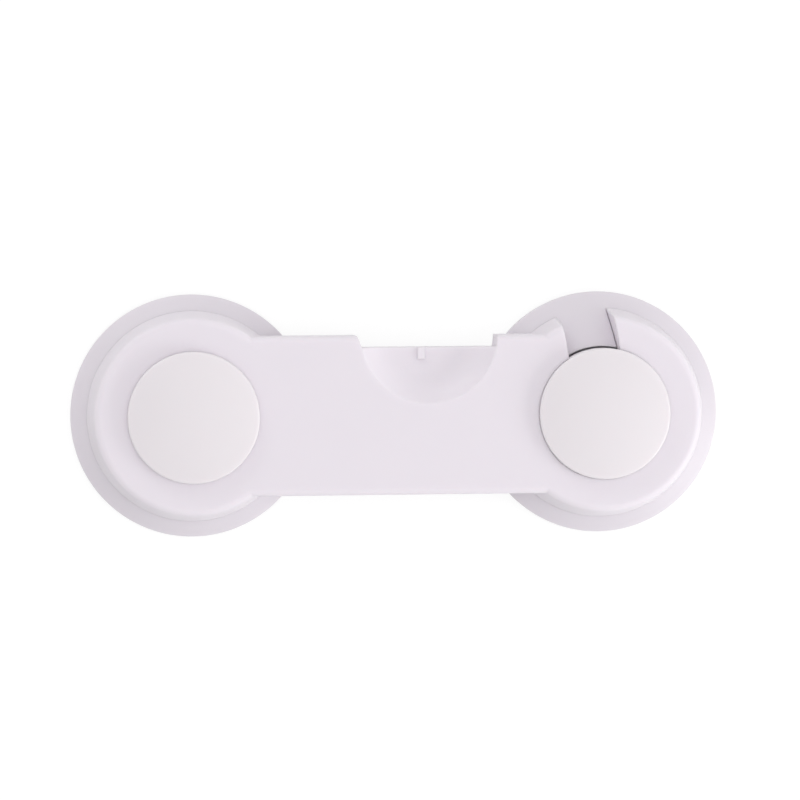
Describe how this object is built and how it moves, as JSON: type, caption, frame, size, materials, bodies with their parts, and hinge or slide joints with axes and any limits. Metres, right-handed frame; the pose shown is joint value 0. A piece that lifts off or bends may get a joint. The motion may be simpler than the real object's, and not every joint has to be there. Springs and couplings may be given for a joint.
{
  "type": "cabinet safety lock",
  "caption": "White stick-on cabinet safety lock: a swinging arm turns on one round base and latches on another until a sprung domed button is pressed.",
  "frame": {"origin": "middle of the lock's length and width, at the face that is stuck to the furniture", "axes": "+X from the pivot base to the catch base, +Y towards the thumb scoop and the ring's slot, +Z away from the furniture"},
  "size_m": [0.09, 0.0334, 0.0119],
  "materials": {
    "arm_plastic": "satin moulded white plastic with a faint pink cast",
    "dome_plastic": "satin moulded white plastic, slightly smoother than the arm",
    "base_plastic": "satin moulded white plastic",
    "foam": "white closed-cell acrylic foam tape, cut edge",
    "liner": "pale release film",
    "spring_steel": "bright drawn spring wire"
  },
  "bodies": {
    "bases": {"pivot_liner": "liner", "pivot_foam": "foam", "pivot_base": "base_plastic", "pivot_cap": "dome_plastic", "catch_liner": "liner", "catch_foam": "foam", "catch_base": "base_plastic"},
    "arm": {"arm": "arm_plastic", "button_retainer": "base_plastic", "left_button_spring": "spring_steel", "right_button_spring": "spring_steel"},
    "button": {"release_button": "dome_plastic"}
  },
  "joints": [
    {"name": "arm_swing", "type": "hinge", "parent": "bases", "child": "arm", "pos_m": [-0.02825, 0, 0], "axis": [0, 0, 1], "range_deg": [-180, 0]},
    {"name": "button_press", "type": "slide", "parent": "arm", "child": "button", "axis": [0, 0, -1], "range_m": [0, 0.0014], "stiffness_N_per_m": 1500, "deforming": ["left_button_spring", "right_button_spring"]}
  ]
}
